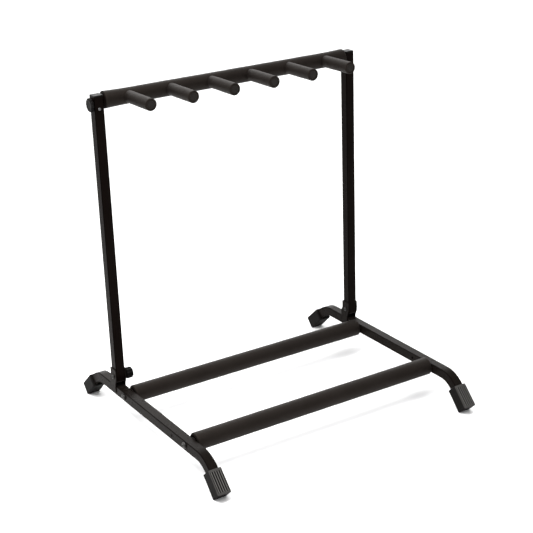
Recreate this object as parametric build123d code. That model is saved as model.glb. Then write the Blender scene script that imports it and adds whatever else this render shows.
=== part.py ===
from build123d import *
import math
import os

# Guitar rack: two bent side legs, two padded cross-bars, two hinged posts and a
# padded neck bar with six padded fingers.
# Millimetres. +Z is up, the player's side is -Y, and X runs along the bars.
# The origin is on the floor, in the middle of the footprint. The functions below
# measure Y from the posts, and the last step moves every piece back by post_y.

# ---- overall layout ----
post_y = 144.5              # posts stand this far behind the middle of the footprint
side_x = 320.0              # middle of each leg and post
leg_z = 68.5                # middle of the level run of each leg
pivot_z = 102.5             # hinge bolt that each post folds on
post_top_z = 748.5          # top of the post's cap
neck_bar_z = 735.0          # middle of the neck bar
neck_pivot_z = 728.5        # bolt that the neck bar tips on
rear_bar = (-42.0, 68.5)    # middle of the rear cross-bar, Y and Z
front_bar = (-318.0, 70.0)
spare_hole_y = -263.0       # unused hole between the bars
spare_hole_r = 3.2

# ---- square steel tube ----
tube = 22.0
tube_wall = 1.5
tube_corner = 1.8

# ---- leg bends ----
bend_radius = 60.0
front_bend_y = -391.0       # where the level run and the front foot's line meet
rear_bend_y = 93.7
front_slope = 46.8          # degrees below level
rear_slope = 42.3

# ---- rubber feet ----
foot_width = 32.0
foot_depth = 31.0
foot_length = 55.0
foot_floor = 6.0
foot_gap = 0.1
foot_corner = 2.0
heel_flat = 1.8             # height of the corner that the flat sole replaces
groove_count = 6
groove_pitch = 4.4
groove_width = 1.4
groove_depth = 0.7

# ---- padded cross-bars ----
lower_tube_r = 12.5
lower_foam_r = 20.0
lower_foam_half = 307.0
round_wall = 1.5
foam_gap = 0.1
insert_length = 22.0
bar_bolt_r = 4.0
bar_bolt_length = 36.0
bar_head_r = 7.0
bar_head_height = 4.0

# ---- hinge brackets ----
plate = 2.0
plate_gap = 0.2             # between the post's side and the bracket
bracket_bottom_z = 64.0
bracket_top_z = 121.5
web_y = 16.3                # inner face of the low web; the post's lower end swings past it
web_top_z = 95.0
stop_bottom_z = 114.5       # tab behind the post that it leans on when upright
stop_gap = 0.3
hinge_bolt_r = 3.0
hinge_head_r = 4.8
hinge_head_height = 3.0
hinge_hole_r = 3.08
nut_across = 10.0
nut_height = 6.0

# ---- hinge knob ----
knob_r = 13.0
knob_hub_r = 8.0
knob_hub_length = 2.5
knob_head_length = 16.5
knob_insert_r = 4.5
knob_insert_length = 12.0

# ---- post caps and plugs ----
cap_top = 3.0
cap_stem_bottom_z = 711.0
stem = 18.6
plug_face = 1.5
plug_stem = 6.0
post_below_pivot = 9.5
post_screw_z = 719.5
post_screw_r = 1.75
post_screw_head_r = 3.2
post_screw_head_height = 2.0
post_screw_length = 12.0

# ---- neck bar ----
neck_tube_r = 12.5
neck_tube_wall = 1.2
neck_foam_r = 17.4
neck_foam_half = 305.5
neck_plug_flange = 3.0
neck_plug_flange_r = 14.0
neck_plug_length = 22.0
neck_side_gap = 0.2
neck_stud_r = 3.0
neck_hole_r = 3.08
neck_thread_r = 3.05

# ---- fingers ----
finger_count = 6
finger_pitch = 100.0
finger_reach = 110.0
finger_rise = 1.0           # degrees that each finger points above level
finger_tube_r = 8.0
finger_foam_r = 13.5
finger_plug_head = 2.0
finger_plug_stem = 12.0
saddle_gap = 0.3

# ---- neck knob ----
neck_knob_r = 15.0
neck_knob_boss_r = 10.0
neck_knob_boss = 1.5
neck_knob_length = 6.5
lobe_count = 12
lobe_r = 2.2

SIDES = {"left": -1, "right": 1}


def rod(x0, x1, radius, y=0.0, z=0.0):
    """A cylinder along X from x0 to x1."""
    middle = Pos((x0 + x1) / 2, y, z)
    return middle * Rot(0, 90, 0) * Cylinder(radius, abs(x1 - x0))


def pipe(x0, x1, outer, inner, y=0.0, z=0.0):
    return rod(x0, x1, outer, y, z) - rod(x0, x1, inner, y, z)


def side_plate(outline, x0, x1):
    """A flat plate with its outline in the YZ plane, from x0 to x1."""
    face = Plane.YZ.offset(min(x0, x1)) * make_face(Polyline(*outline, close=True))
    return extrude(face, abs(x1 - x0))


def slope_of(end):
    return math.radians(front_slope if end < 0 else rear_slope)


def bend_corner(end):
    return Vector(0, front_bend_y if end < 0 else rear_bend_y, leg_z)


def foot_axis(end):
    """Unit vector down the foot; end is -1 at the front and 1 at the rear."""
    angle = slope_of(end)
    return Vector(0, end * math.cos(angle), -math.sin(angle))


def foot_end(end):
    """Middle of the foot's lower end, so that its heel corner is heel_flat below the floor."""
    angle = slope_of(end)
    drop = leg_z + heel_flat - foot_depth / 2 * math.cos(angle)
    return bend_corner(end) + foot_axis(end) * (drop / math.sin(angle))


def side_shift(side):
    return Pos(side * side_x, 0, 0)


def leg(side):
    """Square tube, level in the middle, bent down to a foot at each end."""
    rear = foot_end(1) - foot_axis(1) * foot_floor
    front = foot_end(-1) - foot_axis(-1) * foot_floor
    path = FilletPolyline(rear, bend_corner(1), bend_corner(-1), front, radius=bend_radius)
    start = Plane(origin=path @ 0, x_dir=(1, 0, 0), z_dir=path % 0)
    bore = tube - 2 * tube_wall
    outer = sweep(start * RectangleRounded(tube, tube, tube_corner), path=path)
    inner = sweep(start * RectangleRounded(bore, bore, tube_corner - tube_wall), path=path)
    shape = outer - inner
    for y, z in (rear_bar, front_bar):
        shape -= rod(-tube, tube, bar_bolt_r + 0.2, y, z)
    shape -= rod(-tube, tube, spare_hole_r, spare_hole_y, leg_z)
    return side_shift(side) * shape


def foot(side, end):
    """Rubber boot with a closed end, a grooved toe side and a small flat sole."""
    place = Plane(origin=foot_end(end), x_dir=(1, 0, 0), z_dir=-foot_axis(end))
    block = extrude(RectangleRounded(foot_width, foot_depth, foot_corner), foot_length)
    block = fillet(block.faces().sort_by(Axis.Z)[0].edges(), 1.2)
    socket = tube + 2 * foot_gap
    hole = extrude(RectangleRounded(socket, socket, tube_corner), foot_length)
    block -= Pos(0, 0, foot_floor) * hole
    toe = place.to_local_coords(foot_end(end) + Vector(0, end, 0)).Y
    toe_y = math.copysign(foot_depth / 2, toe)
    for i in range(groove_count):
        x = (i - (groove_count - 1) / 2) * groove_pitch
        cut = Box(groove_width, 2 * groove_depth, foot_length - 14)
        block -= Pos(x, toe_y, foot_length / 2) * cut
    floor_cut = Pos(0, foot_end(end).Y, -50) * Box(100, 200, 100)
    return side_shift(side) * (place * block - floor_cut)


def crossbar_tube(y, z):
    half = side_x - tube / 2
    return pipe(-half, half, lower_tube_r, lower_tube_r - round_wall, y, z)


def crossbar_foam(y, z):
    foam = pipe(-lower_foam_half, lower_foam_half, lower_foam_r, lower_tube_r + foam_gap, y, z)
    return fillet(outer_rims(foam, lower_foam_r), 1.5)


def outer_rims(shape, radius):
    """The circular edges of the given radius."""
    circles = shape.edges().filter_by(GeomType.CIRCLE)
    return circles.filter_by(lambda edge: abs(edge.radius - radius) < 0.01)


def crossbar_insert(side, y, z):
    """Threaded plug pressed into the end of a cross-bar."""
    mouth = side * (side_x - tube / 2)
    return pipe(mouth, mouth - side * insert_length, lower_tube_r - round_wall, bar_bolt_r + 0.05, y, z)


def dome_head(radius, height, socket):
    """Button head on the XY plane, rising along +Z, with a hexagonal socket."""
    head = Cylinder(radius, height, align=(Align.CENTER, Align.CENTER, Align.MIN))
    head = fillet(head.edges().sort_by(Axis.Z)[-1], height * 0.7)
    recess = extrude(RegularPolygon(socket / math.sqrt(3), 6), height)
    return head - Pos(0, 0, height * 0.45) * recess


def outward(side, x, y, z):
    """A frame at (x, y, z) whose Z points out along X on the given side."""
    return Plane(origin=(x, y, z), x_dir=(0, 1, 0), z_dir=(side, 0, 0))


def crossbar_bolt(side, y, z):
    face = side * (side_x + tube / 2)
    shank = rod(face, face - side * bar_bolt_length, bar_bolt_r, y, z)
    return outward(side, face, y, z) * dome_head(bar_head_r, bar_head_height, 5.0) + shank


def flange_outline():
    """Side view of a bracket flange, deeper at the foot, where the web stands clear of the post."""
    front = -tube / 2 - 0.8
    back = tube / 2 + stop_gap + plate
    low_back = web_y + plate
    return [
        (-4.5, bracket_bottom_z),
        (-6.0, 84.0),
        (front, 98.0),
        (front, bracket_top_z - 2),
        (front + 2, bracket_top_z),
        (back - 1, bracket_top_z),
        (back, bracket_top_z - 1),
        (back, 105.0),
        (low_back, web_top_z),
        (low_back, bracket_bottom_z + 2),
        (low_back - 2, bracket_bottom_z),
    ]


def hinge_bracket(side):
    """Two flanges astride the leg and post, joined by a low web and by the stop behind the post."""
    inside = tube / 2 + plate_gap
    outside = inside + plate
    shape = side_plate(flange_outline(), -outside, -inside)
    shape += side_plate(flange_outline(), inside, outside)
    shape += bridge(web_y, leg_z + tube / 2, web_top_z)
    shape += bridge(tube / 2 + stop_gap, stop_bottom_z, bracket_top_z)
    shape -= rod(-tube, tube, hinge_hole_r, 0, pivot_z)
    return side_shift(side) * shape


def bridge(y, bottom, top):
    """A strip of the bracket's plate that joins its flanges behind the post."""
    return Pos(0, y + plate / 2, (bottom + top) / 2) * Box(tube + 2 * plate_gap, plate, top - bottom)


def hinge_bolt(side, length):
    """The head is on the -X flange; the shank runs towards +X."""
    face = side * side_x - tube / 2 - plate_gap - plate
    shank = rod(face, face + length, hinge_bolt_r, 0, pivot_z)
    return outward(-1, face, 0, pivot_z) * dome_head(hinge_head_r, hinge_head_height, 4.0) + shank


def hinge_nut():
    """Lock nut on the right-hand hinge bolt."""
    face = side_x + tube / 2 + plate_gap + plate
    body = extrude(RegularPolygon(nut_across / math.sqrt(3), 6), nut_height - 1.5)
    collar = Pos(0, 0, nut_height - 1.5) * Cylinder(4.2, 1.5, align=(Align.CENTER, Align.CENTER, Align.MIN))
    nut = outward(1, face, 0, pivot_z) * (body + collar)
    return nut - rod(face - 1, face + nut_height + 1, hinge_bolt_r, 0, pivot_z)


def hinge_knob():
    """Stout round knob on the inside of the left-hand bracket, with finger grooves round its rim."""
    total = knob_hub_length + knob_head_length
    profile = Polyline(
        (knob_insert_r, 0),
        (knob_hub_r, 0),
        (knob_hub_r, knob_hub_length),
        (knob_r - 2, knob_hub_length + 1),
        (knob_r, knob_hub_length + 3),
        (knob_r, total - 2.5),
        (knob_r - 2.5, total),
        (0, total),
        (0, knob_insert_length),
        (knob_insert_r, knob_insert_length),
        close=True,
    )
    body = revolve(Plane.XZ * make_face(profile), Axis.Z)
    for place in PolarLocations(knob_r + 1.4, 10):
        body -= place * Pos(0, 0, total / 2) * Cylinder(2.3, 2 * total)
    return knob_frame() * body


def knob_frame():
    face = -side_x + tube / 2 + plate_gap + plate
    return outward(1, face + 0.1, 0, pivot_z)


def hinge_knob_insert():
    """Brass thread moulded into the hinge knob."""
    body = Cylinder(knob_insert_r, knob_insert_length, align=(Align.CENTER, Align.CENTER, Align.MIN))
    bore = Cylinder(hinge_bolt_r + 0.05, knob_insert_length, align=(Align.CENTER, Align.CENTER, Align.MIN))
    return knob_frame() * (body - bore)


def post(side):
    bottom = pivot_z - post_below_pivot
    top = post_top_z - cap_top
    bore = tube - 2 * tube_wall
    outer = extrude(RectangleRounded(tube, tube, tube_corner), top - bottom)
    inner = extrude(RectangleRounded(bore, bore, tube_corner - tube_wall), top - bottom)
    shape = Pos(0, 0, bottom) * (outer - inner)
    shape -= rod(-tube, tube, hinge_hole_r, 0, pivot_z)
    shape -= rod(-tube, tube, neck_hole_r, 0, neck_pivot_z)
    shape -= screw_hole(post_screw_r)
    return side_shift(side) * shape


def screw_hole(radius):
    """Hole through the front wall only."""
    middle = Pos(0, -tube / 2 + post_screw_length / 2, post_screw_z)
    return middle * Rot(90, 0, 0) * Cylinder(radius, post_screw_length)


def post_cap(side):
    """Top cap whose long stem carries the neck bolt and is held by the front screw."""
    head = extrude(RectangleRounded(tube, tube, tube_corner), cap_top)
    head = fillet(head.faces().sort_by(Axis.Z)[-1].edges(), 0.8)
    long_stem = extrude(RectangleRounded(stem, stem, 0.8), post_top_z - cap_top - cap_stem_bottom_z)
    shape = Pos(0, 0, post_top_z - cap_top) * head + Pos(0, 0, cap_stem_bottom_z) * long_stem
    shape -= rod(-tube, tube, neck_hole_r, 0, neck_pivot_z)
    shape -= screw_hole(post_screw_r)
    return side_shift(side) * shape


def post_plug(side):
    """Plug in the post's lower end, short enough to clear the hinge bolt."""
    bottom = pivot_z - post_below_pivot
    face = extrude(RectangleRounded(tube, tube, tube_corner), plug_face)
    short_stem = extrude(RectangleRounded(stem, stem, 0.8), plug_stem)
    shape = Pos(0, 0, bottom - plug_face) * face + Pos(0, 0, bottom) * short_stem
    return side_shift(side) * shape


def post_screw(side):
    """Pan-head screw through the post's front wall into the cap's stem."""
    head = Cylinder(post_screw_head_r, post_screw_head_height, align=(Align.CENTER, Align.CENTER, Align.MIN))
    head = fillet(head.edges().sort_by(Axis.Z)[-1], 1.3)
    slot = Box(1.0, 4.0, 1.6) + Box(4.0, 1.0, 1.6)
    head -= Pos(0, 0, post_screw_head_height) * slot
    front = Plane(origin=(0, -tube / 2, post_screw_z), x_dir=(1, 0, 0), z_dir=(0, -1, 0))
    return side_shift(side) * (front * head + screw_hole(post_screw_r))


def neck_tube():
    half = side_x - tube / 2 - neck_side_gap - neck_plug_flange
    return pipe(-half, half, neck_tube_r, neck_tube_r - neck_tube_wall, 0, neck_bar_z)


def neck_plug(side):
    """Turned plug in the end of the neck bar, threaded off-centre for the pivot bolt."""
    face = side * (side_x - tube / 2 - neck_side_gap)
    seat = face - side * neck_plug_flange
    flange = rod(face, seat, neck_plug_flange_r, 0, neck_bar_z)
    body = rod(seat, seat - side * neck_plug_length, neck_tube_r - neck_tube_wall, 0, neck_bar_z)
    thread = rod(face + side, face - side * (neck_plug_length - 4), neck_thread_r, 0, neck_pivot_z)
    return flange + body - thread


def finger_x(i):
    return (i - (finger_count - 1) / 2) * finger_pitch


def finger_frame(i):
    """Frame on the neck bar's axis whose Z points along finger i."""
    rise = math.radians(finger_rise)
    return Plane(origin=(finger_x(i), 0, neck_bar_z), x_dir=(1, 0, 0),
                 z_dir=(0, -math.cos(rise), math.sin(rise)))


def straight(radius, start, end):
    return Pos(0, 0, (start + end) / 2) * Cylinder(radius, end - start)


def across_bar(radius):
    """The neck bar's cylinder as seen from a finger's frame."""
    return Rot(0, 90, 0) * Cylinder(radius, 4 * neck_foam_r)


def finger_tube(i):
    """Short tube coped to the neck bar and welded on."""
    length = finger_reach - finger_plug_head
    shape = straight(finger_tube_r, 0, length) - straight(finger_tube_r - round_wall, 0, length)
    return finger_frame(i) * (shape - across_bar(neck_tube_r))


def finger_foam(i):
    """Foam sleeve with a saddle end that fits round the neck bar's foam."""
    shape = straight(finger_foam_r, 0, finger_reach)
    shape = fillet(shape.edges().sort_by(Axis.Z)[-1], 1.5)
    shape -= straight(finger_tube_r + foam_gap, 0, finger_reach + 1)
    return finger_frame(i) * (shape - across_bar(neck_foam_r + saddle_gap))


def finger_plug(i):
    """Plastic plug that closes the finger's tube, with a slightly domed face."""
    head = straight(finger_tube_r, finger_reach - finger_plug_head, finger_reach)
    head = fillet(head.edges().sort_by(Axis.Z)[-1], 0.8)
    body = straight(finger_tube_r - round_wall, finger_reach - finger_plug_head - finger_plug_stem,
                    finger_reach - finger_plug_head)
    return finger_frame(i) * (head + body)


def neck_foam():
    """One foam sleeve along the neck bar, cut where each finger's tube passes."""
    foam = pipe(-neck_foam_half, neck_foam_half, neck_foam_r, neck_tube_r + foam_gap, 0, neck_bar_z)
    foam = fillet(outer_rims(foam, neck_foam_r), 1.5)
    for i in range(finger_count):
        foam -= finger_frame(i) * straight(finger_tube_r + foam_gap, 0, neck_foam_r + 5)
    return foam


def neck_stud():
    """Stud moulded into the neck knob; it screws into the left-hand neck plug."""
    outer = -side_x - tube / 2 - neck_side_gap
    return rod(outer - 4.0, -side_x + tube / 2 + 14.0, neck_stud_r, 0, neck_pivot_z)


def neck_knob():
    """Round lobed knob on the outside of the left-hand post."""
    outer = -side_x - tube / 2 - neck_side_gap
    low = (Align.CENTER, Align.CENTER, Align.MIN)
    disc = Cylinder(neck_knob_r, neck_knob_length, align=low)
    disc = fillet(disc.edges(), 1.5)
    for place in PolarLocations(neck_knob_r + lobe_r * 0.65, lobe_count):
        disc -= place * Cylinder(lobe_r, 3 * neck_knob_length)
    body = Cylinder(neck_knob_boss_r, neck_knob_boss, align=low) + Pos(0, 0, neck_knob_boss) * disc
    body = outward(-1, outer, 0, neck_pivot_z) * body
    return body - rod(outer + 1, outer - 4.0, neck_stud_r, 0, neck_pivot_z)


def neck_bolt():
    """Plain bolt that the neck bar tips on at the right-hand post."""
    face = side_x + tube / 2
    shank = rod(face, side_x - tube / 2 - 14.0, neck_stud_r, 0, neck_pivot_z)
    return outward(1, face, 0, neck_pivot_z) * dome_head(6.0, 3.5, 4.0) + shank


def all_parts():
    parts = {}
    bars = {"rear": rear_bar, "front": front_bar}
    for name, side in SIDES.items():
        parts[name + "_leg"] = leg(side)
        parts[name + "_front_foot"] = foot(side, -1)
        parts[name + "_rear_foot"] = foot(side, 1)
        parts[name + "_hinge_bracket"] = hinge_bracket(side)
        parts[name + "_post"] = post(side)
        parts[name + "_post_cap"] = post_cap(side)
        parts[name + "_post_plug"] = post_plug(side)
        parts[name + "_neck_plug"] = neck_plug(side)
    for name, place in bars.items():
        parts[name + "_lower_tube"] = crossbar_tube(*place)
        parts[name + "_lower_foam"] = crossbar_foam(*place)
    corners = [(side, *place) for side in SIDES.values() for place in bars.values()]
    parts["crossbar_bolts"] = Compound([crossbar_bolt(*c).solid() for c in corners])
    parts["crossbar_inserts"] = Compound([crossbar_insert(*c).solid() for c in corners])
    parts["left_hinge_bolt"] = hinge_bolt(-1, 36.0)
    parts["right_hinge_bolt"] = hinge_bolt(1, 33.5)
    parts["right_hinge_nut"] = hinge_nut()
    parts["hinge_knob"] = hinge_knob()
    parts["hinge_knob_insert"] = hinge_knob_insert()
    parts["post_screws"] = Compound([post_screw(side).solid() for side in SIDES.values()])
    parts["neck_tube"] = neck_tube()
    parts["neck_foam"] = neck_foam()
    parts["neck_knob"] = neck_knob()
    parts["neck_knob_stud"] = neck_stud()
    parts["right_neck_bolt"] = neck_bolt()
    for i in range(finger_count):
        number = str(i + 1)
        parts["finger_tube_" + number] = finger_tube(i)
        parts["finger_foam_" + number] = finger_foam(i)
        parts["finger_plug_" + number] = finger_plug(i)
    return parts


os.makedirs("parts", exist_ok=True)
for node, shape in all_parts().items():
    export_step(Pos(0, post_y, 0) * shape, os.path.join("parts", node + ".step"))
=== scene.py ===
import math

import bmesh
import bpy
from mathutils import Matrix, Vector, noise


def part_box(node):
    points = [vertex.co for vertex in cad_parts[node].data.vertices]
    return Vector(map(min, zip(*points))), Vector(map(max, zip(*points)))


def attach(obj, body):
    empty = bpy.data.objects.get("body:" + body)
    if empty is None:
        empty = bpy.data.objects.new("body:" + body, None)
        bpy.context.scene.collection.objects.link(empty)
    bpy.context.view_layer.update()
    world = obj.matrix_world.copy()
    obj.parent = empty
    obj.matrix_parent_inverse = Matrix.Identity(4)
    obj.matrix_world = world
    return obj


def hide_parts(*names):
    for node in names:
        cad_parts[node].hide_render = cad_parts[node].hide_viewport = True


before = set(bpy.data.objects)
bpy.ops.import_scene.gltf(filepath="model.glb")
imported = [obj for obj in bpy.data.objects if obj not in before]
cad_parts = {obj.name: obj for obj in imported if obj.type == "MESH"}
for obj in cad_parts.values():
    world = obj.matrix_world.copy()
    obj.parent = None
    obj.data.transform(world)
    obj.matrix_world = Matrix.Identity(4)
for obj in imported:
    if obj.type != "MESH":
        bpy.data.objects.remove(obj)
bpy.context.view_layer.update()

MM = 0.001
SIDES = {"left": -1, "right": 1}
FINGERS = range(1, 7)

# Millimetres, as in the CAD. Y is measured from the posts, which stand POST_Y behind the middle of the footprint.
POST_Y = 144.5
SIDE_X = 320.0                      # middle of each leg
LEG_Z = 68.5                        # middle of the level run of each leg
BENDS = {"front": (-391.0, 46.8), "rear": (93.7, 42.3)}     # Y of the bend's corner, degrees below level
HEEL_TRIM = 1.8                     # height cut off the heel's lower corner for the flat sole
BOOT_HALF_X = 16.0
BOOT_HALF_Y = 15.5
BOOT_CORNER = 3.0
BOOT_LENGTH = 55.0
SOCKET_CORNER = 1.8
RIB_PITCH = 5.2
RIB_REACH = 2.5 * RIB_PITCH         # the ribs end this far either side of the boot's middle
RIB_DEPTH = 1.1
RIB_SPAN = (5.0, 50.0)              # heights between which the ribs are marked
PAINTED_TOE_LIGHT = 0.35                    # rib attribute on the toe side round the ribs, a painted light as the toe faces the light
BAR_BORE_R = 12.6                   # inside of the sleeves on the 25 mm tubes
RIPPLE_ROOM = 0.15                  # a bar's sleeve is drawn in by this much, for its unevenness
FINGER_R = 13.35
FINGER_BORE_R = 8.1
FINGER_REACH = 110.0
FINGER_RISE = 1.0                   # degrees above level
FINGER_SADDLE_R = 17.65             # hollow at the root of a finger's sleeve, round the neck sleeve

BACK_LIGHT = 3.6                    # brightness of the softbox behind the rack
OVERHEAD_LIGHT = 3.0
KEY_LIGHT = 34                      # watts
WARM = (1.0, 0.82, 0.70, 1)         # tint of the reflections on the paint and the foam

# The camera solved from the photo: its axes and place in metres, Y from the posts, and its focal length in pixels.
CAMERA_RIGHT = (0.84251, -0.53767, -0.03286)
CAMERA_UP = (0.22196, 0.29093, 0.93064)
CAMERA_BACK = (-0.49082, -0.79137, 0.36446)
CAMERA_PLACE = (-1.4771, -2.5101, 1.4273)
CAMERA_SHIFT = (0.0009, -0.0012)
FOCAL_PX = 1350.76
PHOTO_PX = 533
SENSOR_WIDTH = 36.0


# ---------------------------------------------------------------- materials

def tree_of(name):
    mat = bpy.data.materials.new(name)
    mat.use_nodes = True
    nodes = mat.node_tree.nodes
    nodes.clear()
    out = nodes.new("ShaderNodeOutputMaterial")
    shader = nodes.new("ShaderNodeBsdfPrincipled")
    mat.node_tree.links.new(shader.outputs["BSDF"], out.inputs["Surface"])
    return mat, nodes, mat.node_tree.links, shader


def grain(nodes, links, kind, scale, detail=3.0, stretch=(1, 1, 1), rough=0.6):
    """A procedural texture on object coordinates; returns its value socket."""
    coord = nodes.new("ShaderNodeTexCoord")
    mapping = nodes.new("ShaderNodeMapping")
    mapping.inputs["Scale"].default_value = stretch
    links.new(coord.outputs["Object"], mapping.inputs["Vector"])
    if kind == "noise":
        tex = nodes.new("ShaderNodeTexNoise")
        tex.inputs["Detail"].default_value = detail
        tex.inputs["Roughness"].default_value = rough
        value = tex.outputs["Fac"]
    else:
        tex = nodes.new("ShaderNodeTexVoronoi")
        tex.feature = kind
        value = tex.outputs["Distance"]
    tex.inputs["Scale"].default_value = scale
    links.new(mapping.outputs["Vector"], tex.inputs["Vector"])
    return value


def remap(nodes, links, value, low, high, out_low, out_high):
    node = nodes.new("ShaderNodeMapRange")
    node.inputs["From Min"].default_value = low
    node.inputs["From Max"].default_value = high
    node.inputs["To Min"].default_value = out_low
    node.inputs["To Max"].default_value = out_high
    links.new(value, node.inputs["Value"])
    return node.outputs["Result"]


def blend_colour(nodes, links, value, dark, light, low=0.3, high=0.7):
    ramp = nodes.new("ShaderNodeValToRGB")
    ramp.color_ramp.elements[0].position = low
    ramp.color_ramp.elements[1].position = high
    ramp.color_ramp.elements[0].color = (*dark, 1)
    ramp.color_ramp.elements[1].color = (*light, 1)
    links.new(value, ramp.inputs["Fac"])
    return ramp.outputs["Color"]


def mix_colour(nodes, links, fac, first, second):
    node = nodes.new("ShaderNodeMix")
    node.data_type = "RGBA"
    for value, socket in ((fac, node.inputs[0]), (first, node.inputs[6]), (second, node.inputs[7])):
        if isinstance(value, tuple):
            socket.default_value = (*value, 1)
        else:
            links.new(value, socket)
    return node.outputs[2]


def bumps(nodes, links, shader, layers):
    """Chains bump nodes; each layer is (value, strength, distance in metres)."""
    normal = None
    for value, strength, distance in layers:
        node = nodes.new("ShaderNodeBump")
        node.inputs["Strength"].default_value = strength
        node.inputs["Distance"].default_value = distance
        links.new(value, node.inputs["Height"])
        if normal is not None:
            links.new(normal, node.inputs["Normal"])
        normal = node.outputs["Normal"]
    links.new(normal, shader.inputs["Normal"])


def maths(nodes, links, operation, first, second=0.0):
    node = nodes.new("ShaderNodeMath")
    node.operation = operation
    for value, socket in ((first, node.inputs[0]), (second, node.inputs[1])):
        if isinstance(value, float):
            socket.default_value = value
        else:
            links.new(value, socket)
    return node.outputs[0]


def painted_corner_reflection_mask(nodes, links):
    """Near 1 on the tubes' long rounded corners, which face half way between X and the sides next to them; the
    paint gets a painted dark reflection there.
    """
    geometry = nodes.new("ShaderNodeNewGeometry")
    split = nodes.new("ShaderNodeSeparateXYZ")
    links.new(geometry.outputs["Normal"], split.inputs[0])
    sideways = maths(nodes, links, "ABSOLUTE", split.outputs["X"])
    rest = maths(nodes, links, "SUBTRACT", 1.0, sideways)
    return remap(nodes, links, maths(nodes, links, "MULTIPLY", sideways, rest), 0.06, 0.16, 0.0, 0.85)


def powder_coat(name, dark, light, rough, shine):
    """Fine orange-peel paint with faint rubs, and a painted dark reflection along the tubes' corners."""
    mat, nodes, links, shader = tree_of(name)
    cloud = grain(nodes, links, "noise", 9.0, 4)
    fleck = grain(nodes, links, "noise", 900.0, 2)
    peel = grain(nodes, links, "noise", 420.0, 2, rough=0.4)
    colour = blend_colour(nodes, links, cloud, dark, light)
    rubbed = grain(nodes, links, "noise", 38.0, 6, rough=0.75)
    rubs = remap(nodes, links, rubbed, 0.62, 0.8, 0.0, 0.5)
    colour = mix_colour(nodes, links, rubs, colour, tuple(1.9 * c for c in light))
    corner = painted_corner_reflection_mask(nodes, links)
    # painted dark reflection: the colour is darkened along the tubes' rounded corners
    links.new(mix_colour(nodes, links, corner, colour, tuple(0.3 * c for c in dark)), shader.inputs["Base Color"])
    uneven = remap(nodes, links, rubbed, 0.3, 0.75, rough - 0.07, rough + 0.1)
    links.new(maths(nodes, links, "MAXIMUM", uneven, corner), shader.inputs["Roughness"])
    shader.inputs["Specular IOR Level"].default_value = shine
    shader.inputs["Specular Tint"].default_value = WARM
    bumps(nodes, links, shader, [(peel, 0.35, 0.0002), (fleck, 0.18, 0.00008)])
    return mat


def foam_material(name, dark, light, shine):
    """Closed-cell foam: small pores with painted shade in them, a crumbed surface and slow dents."""
    mat, nodes, links, shader = tree_of(name)
    cloud = grain(nodes, links, "noise", 14.0, 5)
    pores = grain(nodes, links, "F1", 1500.0)
    crumb = grain(nodes, links, "noise", 620.0, 5, rough=0.7)
    dents = grain(nodes, links, "noise", 60.0, 3)
    colour = blend_colour(nodes, links, cloud, dark, light)
    dusty = remap(nodes, links, crumb, 0.55, 0.8, 0.0, 0.55)
    colour = mix_colour(nodes, links, dusty, colour, tuple(2.0 * c for c in light))
    # painted shade in the pores' hollows
    painted_pore_shade = remap(nodes, links, pores, 0.0, 0.25, 0.45, 0.0)
    colour = mix_colour(nodes, links, painted_pore_shade, colour, tuple(0.4 * c for c in dark))
    links.new(colour, shader.inputs["Base Color"])
    links.new(remap(nodes, links, crumb, 0.3, 0.7, 0.5, 0.75), shader.inputs["Roughness"])
    shader.inputs["Specular IOR Level"].default_value = shine
    shader.inputs["Specular Tint"].default_value = WARM
    bumps(nodes, links, shader, [(dents, 0.35, 0.0006), (crumb, 0.5, 0.0002), (pores, 0.5, 0.00012)])
    return mat


def rubber_material(name, dark, light):
    """Matt rubber, with painted highlights on the ribs' crests and round the toe and painted shade in their
    grooves, by the mesh's rib attribute.
    """
    mat, nodes, links, shader = tree_of(name)
    cloud = grain(nodes, links, "noise", 30.0, 4)
    matte = grain(nodes, links, "noise", 700.0, 3)
    dust = grain(nodes, links, "noise", 120.0, 6, rough=0.75)
    colour = blend_colour(nodes, links, cloud, dark, light)
    film = remap(nodes, links, dust, 0.52, 0.8, 0.0, 0.3)
    colour = mix_colour(nodes, links, film, colour, (0.030, 0.028, 0.026))
    ribs = nodes.new("ShaderNodeAttribute")
    ribs.attribute_name = "rib"
    # painted highlight on the ribs' crests and round the toe side
    crest = remap(nodes, links, ribs.outputs["Fac"], 0.0, 1.0, 0.0, 1.0)
    colour = mix_colour(nodes, links, crest, colour, (0.118, 0.114, 0.109))
    # painted shade in the ribs' grooves
    hollow = remap(nodes, links, ribs.outputs["Fac"], -1.0, 0.0, 0.8, 0.0)
    links.new(mix_colour(nodes, links, hollow, colour, tuple(0.3 * c for c in dark)), shader.inputs["Base Color"])
    links.new(remap(nodes, links, dust, 0.3, 0.7, 0.42, 0.62), shader.inputs["Roughness"])
    shader.inputs["Specular IOR Level"].default_value = 0.02
    bumps(nodes, links, shader, [(matte, 0.4, 0.00012), (dust, 0.2, 0.0002)])
    return mat


def plastic_material(name, dark, light, rough):
    """Spark-textured plastic with scuffs."""
    mat, nodes, links, shader = tree_of(name)
    cloud = grain(nodes, links, "noise", 45.0, 3)
    spark = grain(nodes, links, "F1", 1100.0)
    scuff = grain(nodes, links, "noise", 160.0, 6, stretch=(1, 1, 4), rough=0.7)
    colour = blend_colour(nodes, links, cloud, dark, light)
    marks = remap(nodes, links, scuff, 0.6, 0.82, 0.0, 0.35)
    colour = mix_colour(nodes, links, marks, colour, tuple(2.4 * c for c in light))
    links.new(colour, shader.inputs["Base Color"])
    links.new(remap(nodes, links, scuff, 0.3, 0.75, rough - 0.08, rough + 0.12), shader.inputs["Roughness"])
    shader.inputs["Specular IOR Level"].default_value = 0.05
    bumps(nodes, links, shader, [(spark, 0.3, 0.00007), (scuff, 0.1, 0.0001)])
    return mat


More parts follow.
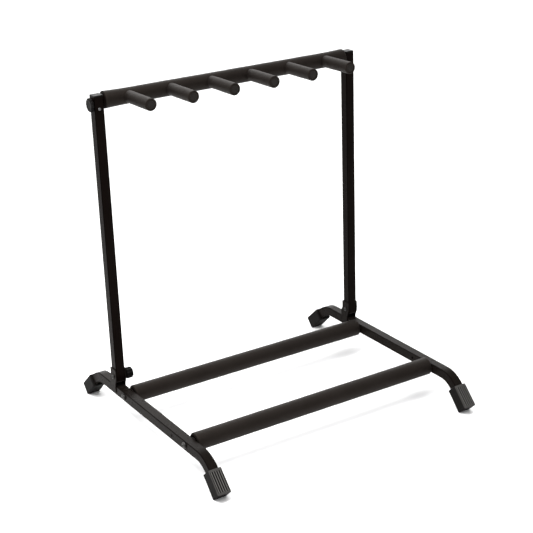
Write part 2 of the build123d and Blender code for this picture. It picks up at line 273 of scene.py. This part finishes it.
def metal_material(name, dark, light, rough, stretch):
    """Bare metal with fine lines; stretch draws the lines out along an axis."""
    mat, nodes, links, shader = tree_of(name)
    cloud = grain(nodes, links, "noise", 120.0, 5, rough=0.7)
    lines = grain(nodes, links, "noise", 260.0, 3, stretch=stretch)
    colour = blend_colour(nodes, links, cloud, dark, light)
    links.new(colour, shader.inputs["Base Color"])
    shader.inputs["Metallic"].default_value = 1.0
    links.new(remap(nodes, links, lines, 0.25, 0.75, rough - 0.08, rough + 0.14), shader.inputs["Roughness"])
    bumps(nodes, links, shader, [(lines, 0.2, 0.00006)])
    return mat


LEG_COAT = powder_coat("leg_powder_coat", (0.0050, 0.0039, 0.0033), (0.0084, 0.0068, 0.0058), 0.28, 0.018)
POST_COAT = powder_coat("post_powder_coat", (0.0020, 0.0012, 0.0010), (0.0036, 0.0023, 0.0020), 0.28, 0.02)
FOAM = foam_material("foam_sleeve", (0.0040, 0.0032, 0.0028), (0.0068, 0.0056, 0.0050), 0.15)
NECK_FOAM = foam_material("neck_foam_sleeve", (0.0032, 0.0025, 0.0022), (0.0056, 0.0045, 0.0040), 0.14)
BOOT = rubber_material("foot_rubber", (0.0050, 0.0045, 0.0042), (0.0080, 0.0074, 0.0069))
KNOB = plastic_material("knob_plastic", (0.0025, 0.0021, 0.0020), (0.0045, 0.0040, 0.0037), 0.42)
PLUG = plastic_material("plug_plastic", (0.0110, 0.0094, 0.0084), (0.0175, 0.0153, 0.0140), 0.5)
DARK_STEEL = metal_material("dark_fasteners", (0.03, 0.029, 0.028), (0.07, 0.068, 0.066), 0.38, (1, 1, 1))
TURNED = metal_material("turned_steel", (0.30, 0.30, 0.31), (0.42, 0.42, 0.43), 0.34, (30, 1, 1))
BRIGHT = metal_material("bright_screws", (0.12, 0.12, 0.12), (0.22, 0.22, 0.22), 0.4, (1, 1, 1))
BRASS = metal_material("brass_insert", (0.55, 0.40, 0.18), (0.72, 0.55, 0.28), 0.3, (30, 1, 1))


# ---------------------------------------------------------------- mesh tools

def new_piece(name, verts, faces, material, body, angle=35.0):
    """A mesh object in metres, smooth up to the given angle, riding on a body."""
    mesh = bpy.data.meshes.new(name)
    mesh.from_pydata([tuple(v) for v in verts], [], faces)
    mesh.update()
    fix = bmesh.new()
    fix.from_mesh(mesh)
    bmesh.ops.recalc_face_normals(fix, faces=fix.faces)
    fix.to_mesh(mesh)
    fix.free()
    mesh.materials.append(material)
    piece = bpy.data.objects.new(name, mesh)
    bpy.context.scene.collection.objects.link(piece)
    smooth(mesh, angle)
    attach(piece, body)
    return piece


def smooth(mesh, angle):
    mesh.polygons.foreach_set("use_smooth", [True] * len(mesh.polygons))
    mesh.set_sharp_from_angle(angle=math.radians(angle))


def ring_faces(rings, segments, close_ring=False):
    """Quads between consecutive rings; close_ring joins the last ring to the first."""
    faces = []
    count = rings if close_ring else rings - 1
    for i in range(count):
        a, b = i * segments, ((i + 1) % rings) * segments
        for j in range(segments):
            k = (j + 1) % segments
            faces.append((a + j, a + k, b + k, b + j))
    return faces


def frame_axes(axis):
    """Two unit vectors across the axis; the first is X where it can be."""
    axis = Vector(axis).normalized()
    across = Vector((0, 0, 1)) if abs(axis.x) > 0.9 else Vector((1, 0, 0))
    other = axis.cross(across).normalized()
    return across, other


def ripple(point, seed, size):
    """Slow unevenness of cut foam, in metres."""
    shifted = Vector(point) * (1 / size) + Vector((seed * 7.31, seed * 3.17, seed * 1.73))
    return noise.noise(shifted)


def sleeve_profile(length, outer, inner, step):
    """(distance along, radius) of a sleeve's section, from its near outer rim round to its near bore."""
    rim = [(0.0, 1.7), (0.15, 1.05), (0.5, 0.45), (1.1, 0.1), (2.0, 0.0)]
    edge = rim[-1][0]
    span = length - 2 * edge
    count = max(2, round(span / step))
    profile = [(t, outer - pull) for t, pull in rim]
    profile += [(edge + span * i / count, outer) for i in range(1, count)]
    profile += [(length - t, outer - pull) for t, pull in reversed(rim)]
    profile += [(length, inner + 0.55), (length - 0.45, inner), (length - 6.0, inner)]
    profile += [(length / 2, inner), (6.0, inner), (0.45, inner), (0.0, inner + 0.55)]
    return profile


def sleeve(name, start, axis, length, outer, inner, seed, body, node, material, saddle=0.0, flare=0.0,
           segments=72):
    """A foam sleeve with soft rims; lengths in mm.

    saddle copes the start to a bar of that radius, and flare swells the ends by that much."""
    axis = Vector(axis).normalized()
    u, v = frame_axes(axis)
    flare_length = 45.0
    profile = sleeve_profile(length, outer, inner, step=3.0)
    verts = []
    for t, r in profile:
        for j in range(segments):
            phi = 2 * math.pi * j / segments
            direction = u * math.cos(phi) + v * math.sin(phi)
            along = t
            if saddle:
                wide = r * math.sin(phi)
                bottom = math.sqrt(max(saddle ** 2 - wide ** 2, 0.0))
                along = bottom + t * (length - bottom) / length
            point = Vector(start) + axis * along
            radius = r
            if r > inner + 1.0:
                near_end = min(t, length - t)
                radius += flare * max(0.0, 1 - near_end / flare_length)
                where = (point + direction * r) * MM
                radius += 0.22 * ripple(where, seed, 0.035) + 0.10 * ripple(where, seed + 9, 0.011)
            verts.append((point + direction * radius) * MM)
    faces = ring_faces(len(profile), segments, True)
    piece = new_piece(name, verts, faces, material, body, 50)
    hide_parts(node)
    return piece


# ---------------------------------------------------------------- foam sleeves

def bar_sleeve(name, node, seed, body, material, flare=0.0):
    """A sleeve along X that fills its node's box."""
    low, high = (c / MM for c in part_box(node))
    middle = (low + high) / 2
    radius = (high.z - low.z) / 2 - RIPPLE_ROOM
    return sleeve(name, (low.x, middle.y, middle.z), (1, 0, 0), high.x - low.x, radius, BAR_BORE_R, seed, body,
                  node, material, flare=flare)


def make_foams():
    for seed, name in ((1, "rear"), (2, "front")):
        bar_sleeve(name + "_lower_sleeve", name + "_lower_foam", seed, "base", FOAM)
    neck = bar_sleeve("neck_sleeve", "neck_foam", 3, "neck_rest", NECK_FOAM, flare=1.5)
    low, high = (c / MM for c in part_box("neck_foam"))
    middle = (low + high) / 2
    rise = math.radians(FINGER_RISE)
    axis = Vector((0, -math.cos(rise), math.sin(rise)))
    for i in FINGERS:
        node = f"finger_foam_{i}"
        low, high = (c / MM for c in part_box(node))
        root = Vector(((low.x + high.x) / 2, middle.y, middle.z))
        sleeve(f"finger_sleeve_{i}", root, axis, FINGER_REACH, FINGER_R, FINGER_BORE_R, 10 + i, "neck_rest", node,
               NECK_FOAM, saddle=FINGER_SADDLE_R, segments=64)
        bore(neck, root, axis, FINGER_BORE_R + 0.05, 30.0)


def bore(piece, start, axis, radius, length):
    """Cuts a round hole from start along axis."""
    tool = bmesh.new()
    bmesh.ops.create_cone(tool, cap_ends=True, segments=48, radius1=radius * MM, radius2=radius * MM,
                          depth=length * MM)
    turn = Vector((0, 0, 1)).rotation_difference(axis).to_matrix().to_4x4()
    place = Matrix.Translation((start + axis * (length / 2)) * MM) @ turn
    bmesh.ops.transform(tool, matrix=place, verts=tool.verts)
    cut(piece, tool)


def cut(piece, tool):
    """Takes the tool's solid away from the piece and removes the tool."""
    mesh = bpy.data.meshes.new("tool")
    tool.to_mesh(mesh)
    tool.free()
    cutter = bpy.data.objects.new("tool", mesh)
    bpy.context.scene.collection.objects.link(cutter)
    modifier = piece.modifiers.new("cut", "BOOLEAN")
    modifier.operation = "DIFFERENCE"
    modifier.solver = "EXACT"
    modifier.object = cutter
    graph = bpy.context.evaluated_depsgraph_get()
    result = bpy.data.meshes.new_from_object(piece.evaluated_get(graph))
    piece.modifiers.remove(modifier)
    old = piece.data
    name = old.name
    piece.data = result
    bpy.data.meshes.remove(old)
    result.name = name
    bpy.data.objects.remove(cutter)
    bpy.data.meshes.remove(mesh)


# ---------------------------------------------------------------- rubber feet

def make_feet():
    for side, sign in SIDES.items():
        for end in ("front", "rear"):
            make_foot(side, sign, end)


def make_foot(side, sign, end):
    """A moulded boot: ribbed toe face, soft lip round the tube, rounded base and flat sole."""
    corner_y, degrees = BENDS[end]
    slope = math.radians(degrees)
    toward = -1 if end == "front" else 1
    axis = Vector((0, toward * math.cos(slope), -math.sin(slope)))
    drop = (LEG_Z + HEEL_TRIM - BOOT_HALF_Y * math.cos(slope)) / math.sin(slope)
    bottom = Vector((sign * SIDE_X, corner_y + POST_Y, LEG_Z)) + axis * drop
    up = -axis
    toe = Vector((0, toward * math.sin(slope), math.cos(slope)))
    segments = 240
    # (height, how far the side is drawn in, share of the ribs' depth)
    outside = [(0.0, 1.5, 0), (0.15, 0.8, 0), (0.6, 0.3, 0), (1.4, 0.0, 0), (4.0, 0.0, 0), (5.5, 0.0, 0.15),
               (7.0, 0.0, 1), (12.0, 0.05, 1), (20.0, 0.1, 1), (28.0, 0.15, 1), (36.0, 0.2, 1), (44.0, 0.25, 1),
               (47.0, 0.25, 1), (48.5, 0.25, 0.15), (50.0, 0.25, 0), (53.0, 0.25, 0), (54.0, 0.45, 0),
               (54.6, 0.9, 0), (54.9, 1.5, 0)]
    # (height, half width) down the socket
    socket = [(BOOT_LENGTH, 13.0), (BOOT_LENGTH, 11.9), (54.3, 11.25), (30.0, 11.12), (6.0, 11.1)]
    verts = []
    for height, inset, groove in outside:
        verts += boot_ring(bottom, up, toe, height, BOOT_HALF_X - inset, BOOT_HALF_Y - inset, BOOT_CORNER, groove,
                           segments)
    for height, half in socket:
        verts += boot_ring(bottom, up, toe, height, half, half, SOCKET_CORNER, 0, segments)
    rings = len(outside) + len(socket)
    faces = ring_faces(rings, segments)
    faces.append(tuple(reversed(range(segments))))
    faces.append(tuple(range((rings - 1) * segments, rings * segments)))
    piece = new_piece(f"{side}_{end}_boot", verts, faces, BOOT, "base", 40)
    flatten_sole(piece.data)
    smooth(piece.data, 40)
    mark_ribs(piece.data, bottom, up, toe)
    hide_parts(f"{side}_{end}_foot")


def flatten_sole(mesh):
    """Cuts the mesh off at the floor and closes it."""
    trim = bmesh.new()
    trim.from_mesh(mesh)
    geometry = trim.verts[:] + trim.edges[:] + trim.faces[:]
    sliced = bmesh.ops.bisect_plane(trim, geom=geometry, plane_co=(0, 0, 0), plane_no=(0, 0, -1), clear_outer=True)
    rim = [e for e in sliced["geom_cut"] if isinstance(e, bmesh.types.BMEdge)]
    bmesh.ops.contextual_create(trim, geom=rim)
    bmesh.ops.recalc_face_normals(trim, faces=trim.faces)
    trim.to_mesh(mesh)
    trim.free()


def rib_wave(x):
    """1 on a rib's crest and 0 in the middle of a groove."""
    return 0.5 + 0.5 * math.cos(2 * math.pi * x / RIB_PITCH)


def mark_ribs(mesh, bottom, up, toe):
    """Writes 1 on the crests of the toe side's ribs, -1 in the grooves, the toe's painted-light share round them
    and 0 elsewhere; the rubber paints highlights by the positive values and shade by the negative ones.
    """
    ribs = mesh.attributes.new("rib", "FLOAT", "POINT")
    for vertex in mesh.vertices:
        place = vertex.co / MM - bottom
        on_toe = place.dot(toe) > BOOT_HALF_Y - 1.6
        if on_toe and abs(place.x) < RIB_REACH and RIB_SPAN[0] < place.dot(up) < RIB_SPAN[1]:
            ribs.data[vertex.index].value = 2 * rib_wave(place.x) - 1
        elif on_toe:
            ribs.data[vertex.index].value = PAINTED_TOE_LIGHT


def boot_ring(bottom, up, toe, height, half_x, half_y, corner, groove, segments):
    """Points round a rounded rectangle, with shallow grooves on the toe side."""
    points = []
    for x, y in rounded_rectangle(half_x, half_y, corner, segments):
        if groove and y > half_y - 0.01 and abs(x) < RIB_REACH:
            y -= RIB_DEPTH * groove * (1 - rib_wave(x) ** 2)
        points.append((bottom + up * height + Vector((x, 0, 0)) + toe * y) * MM)
    return points


def rounded_rectangle(half_x, half_y, corner, segments):
    """Evenly spread points round a rounded rectangle, anticlockwise from the middle of its +X side."""
    straight_x, straight_y = 2 * (half_x - corner), 2 * (half_y - corner)
    arc = math.pi * corner / 2
    # lines give their start and direction, arcs their centre and first angle; each ends with its length
    runs = [
        ("line", (half_x, -straight_y / 2), (0, 1), straight_y),
        ("arc", (half_x - corner, half_y - corner), 0, arc),
        ("line", (straight_x / 2, half_y), (-1, 0), straight_x),
        ("arc", (corner - half_x, half_y - corner), 90, arc),
        ("line", (-half_x, straight_y / 2), (0, -1), straight_y),
        ("arc", (corner - half_x, corner - half_y), 180, arc),
        ("line", (-straight_x / 2, -half_y), (1, 0), straight_x),
        ("arc", (half_x - corner, corner - half_y), 270, arc),
    ]
    total = 2 * straight_x + 2 * straight_y + 4 * arc
    points = []
    for i in range(segments):
        left = total * i / segments
        for kind, place, turn, size in runs:
            if left <= size:
                break
            left -= size
        if kind == "line":
            points.append((place[0] + turn[0] * left, place[1] + turn[1] * left))
        else:
            angle = math.radians(turn) + left / corner
            points.append((place[0] + corner * math.cos(angle), place[1] + corner * math.sin(angle)))
    return points


# ---------------------------------------------------------------- knobs

def lobed(name, rings, lobes, depth, frame_at, body, node, segments=144):
    """A turned knob with a scalloped rim; rings are (height, radius, share of scallop) from its inner face out."""
    verts = []
    for height, radius, share in rings:
        for j in range(segments):
            phi = 2 * math.pi * j / segments
            dip = depth * share * (0.5 - 0.5 * math.cos(lobes * phi)) ** 2.2
            r = radius - dip
            verts.append(frame_at @ Vector((r * math.cos(phi) * MM, r * math.sin(phi) * MM, height * MM)))
    faces = ring_faces(len(rings), segments)
    faces.append(tuple(range(segments)))
    faces.append(tuple(range((len(rings) - 1) * segments, len(rings) * segments)))
    piece = new_piece(name, verts, faces, KNOB, body, 40)
    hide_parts(node)


def along_x(x, y, z, sign):
    """A frame at a point in mm whose Z points along +X or -X."""
    turn = Vector((0, 0, 1)).rotation_difference(Vector((sign, 0, 0))).to_matrix().to_4x4()
    return Matrix.Translation(Vector((x, y, z)) * MM) @ turn


def make_knobs():
    low, high = (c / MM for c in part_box("neck_knob"))
    rings = [(0.0, 9.4, 0), (0.0, 10.0, 0), (1.5, 10.0, 0), (1.6, 13.0, 0.3), (1.9, 14.2, 1), (2.6, 14.8, 1),
             (3.4, 15.0, 1), (5.6, 15.0, 1), (6.7, 14.7, 1), (7.4, 14.0, 1), (7.8, 13.0, 0.6), (8.0, 11.6, 0.1),
             (8.0, 10.2, 0), (7.7, 9.4, 0), (7.6, 8.2, 0), (7.6, 3.0, 0), (7.6, 0.6, 0)]
    place = along_x(high.x, (low.y + high.y) / 2, (low.z + high.z) / 2, -1)
    lobed("top_knob", rings, 12, 1.5, place, "top_knob", "neck_knob")
    low, high = (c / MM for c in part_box("hinge_knob"))
    rings = [(0.0, 4.6, 0), (0.0, 7.4, 0), (0.3, 8.0, 0), (2.5, 8.0, 0), (2.9, 9.6, 0.1), (3.5, 11.3, 0.5),
             (4.3, 12.3, 1), (5.6, 13.0, 1), (8.0, 12.9, 1), (12.0, 12.8, 1), (15.6, 12.9, 1), (17.0, 12.6, 1),
             (18.2, 11.8, 1), (18.8, 10.8, 0.7), (19.0, 9.8, 0.2), (19.0, 8.4, 0), (18.7, 7.8, 0), (18.6, 6.8, 0),
             (18.6, 2.5, 0), (18.6, 0.5, 0)]
    place = along_x(low.x, (low.y + high.y) / 2, (low.z + high.z) / 2, 1)
    lobed("lock_knob_grip", rings, 10, 1.3, place, "lock_knob", "hinge_knob")


# ---------------------------------------------------------------- CAD nodes that stay

def paint(node, material):
    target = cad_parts[node]
    target.data.materials.clear()
    target.data.materials.append(material)


def paint_cad():
    for side in SIDES:
        paint(side + "_leg", LEG_COAT)
        paint(side + "_hinge_bracket", LEG_COAT)
        paint(side + "_post", POST_COAT)
        paint(side + "_post_cap", KNOB)
        paint(side + "_post_plug", PLUG)
        paint(side + "_neck_plug", POST_COAT)
    for name in ("rear_lower_tube", "front_lower_tube", "neck_tube"):
        paint(name, POST_COAT)
    for i in FINGERS:
        paint(f"finger_tube_{i}", POST_COAT)
        paint(f"finger_plug_{i}", PLUG)
    for name in ("crossbar_bolts", "left_hinge_bolt", "right_hinge_bolt", "right_hinge_nut", "right_neck_bolt",
                 "neck_knob_stud"):
        paint(name, DARK_STEEL)
    paint("crossbar_inserts", TURNED)
    paint("post_screws", BRIGHT)
    paint("hinge_knob_insert", BRASS)


# ---------------------------------------------------------------- studio

def area_light(name, place, target, size, power):
    data = bpy.data.lights.new(name, "AREA")
    data.shape = "RECTANGLE"
    data.size, data.size_y = size
    data.energy = power
    lamp = bpy.data.objects.new(name, data)
    bpy.context.scene.collection.objects.link(lamp)
    lamp.location = place
    lamp.rotation_euler = (Vector(target) - Vector(place)).to_track_quat("-Z", "Y").to_euler()


def make_studio():
    bpy.ops.mesh.primitive_grid_add(x_subdivisions=8, y_subdivisions=8, size=40, location=(0, 0, -0.0005))
    floor = bpy.context.active_object
    floor.name = "studio_floor"
    mat, nodes, links, shader = tree_of("studio_floor")
    tone = grain(nodes, links, "noise", 0.7, 2)
    links.new(blend_colour(nodes, links, tone, (0.92, 0.92, 0.92), (0.95, 0.95, 0.95)), shader.inputs["Base Color"])
    shader.inputs["Roughness"].default_value = 0.9
    shader.inputs["Specular IOR Level"].default_value = 0.1
    floor.data.materials.append(mat)
    make_world()
    data = bpy.data.lights.new("overhead_softbox", "SUN")
    data.energy = OVERHEAD_LIGHT
    data.angle = math.radians(90)
    lamp = bpy.data.objects.new("overhead_softbox", data)
    bpy.context.scene.collection.objects.link(lamp)
    lamp.rotation_euler = Vector((0.05, 0.30, -1.0)).to_track_quat("-Z", "Y").to_euler()
    area_light("key_light", (-0.9, -0.2, 1.75), (-0.1, 0.05, 0.6), (0.8, 0.8), KEY_LIGHT)
    bpy.context.scene.view_settings.view_transform = "Standard"


def make_world():
    """A white wall up to about 26 degrees, dimmer on the near side, a dim room over it and a softbox behind."""
    world = bpy.data.worlds.new("studio")
    bpy.context.scene.world = world
    world.use_nodes = True
    nodes, links = world.node_tree.nodes, world.node_tree.links
    coord = nodes.new("ShaderNodeTexCoord")
    split = nodes.new("ShaderNodeSeparateXYZ")
    links.new(coord.outputs["Generated"], split.inputs["Vector"])
    wall = remap(nodes, links, split.outputs["Z"], 0.44, 0.50, 1.15, 0.06)
    far = facing(nodes, links, coord, (0.53, 0.85, 0.0))
    wall = maths(nodes, links, "MULTIPLY", wall, remap(nodes, links, far, -0.3, 0.5, 0.25, 1.0))
    softbox = remap(nodes, links, facing(nodes, links, coord, (0.33, 0.76, 0.56)), 0.80, 0.97, 0.0, BACK_LIGHT)
    nodes["Background"].inputs["Color"].default_value = (1, 1, 1, 1)
    links.new(maths(nodes, links, "ADD", wall, softbox), nodes["Background"].inputs["Strength"])


def facing(nodes, links, coord, direction):
    """How far the view of the sky points along a direction, from -1 to 1."""
    node = nodes.new("ShaderNodeVectorMath")
    node.operation = "DOT_PRODUCT"
    node.inputs[1].default_value = direction
    links.new(coord.outputs["Generated"], node.inputs[0])
    return node.outputs["Value"]


def make_camera():
    data = bpy.data.cameras.new("camera")
    data.sensor_width = SENSOR_WIDTH
    data.lens = FOCAL_PX / PHOTO_PX * SENSOR_WIDTH
    data.shift_x, data.shift_y = CAMERA_SHIFT
    data.clip_start, data.clip_end = 0.1, 100.0
    camera = bpy.data.objects.new("camera", data)
    bpy.context.scene.collection.objects.link(camera)
    turn = Matrix((CAMERA_RIGHT, CAMERA_UP, CAMERA_BACK)).transposed().to_4x4()
    x, y, z = CAMERA_PLACE
    camera.matrix_world = Matrix.Translation((x, y + POST_Y * MM, z)) @ turn
    bpy.context.scene.camera = camera


make_foams()
make_feet()
make_knobs()
paint_cad()
make_studio()
make_camera()
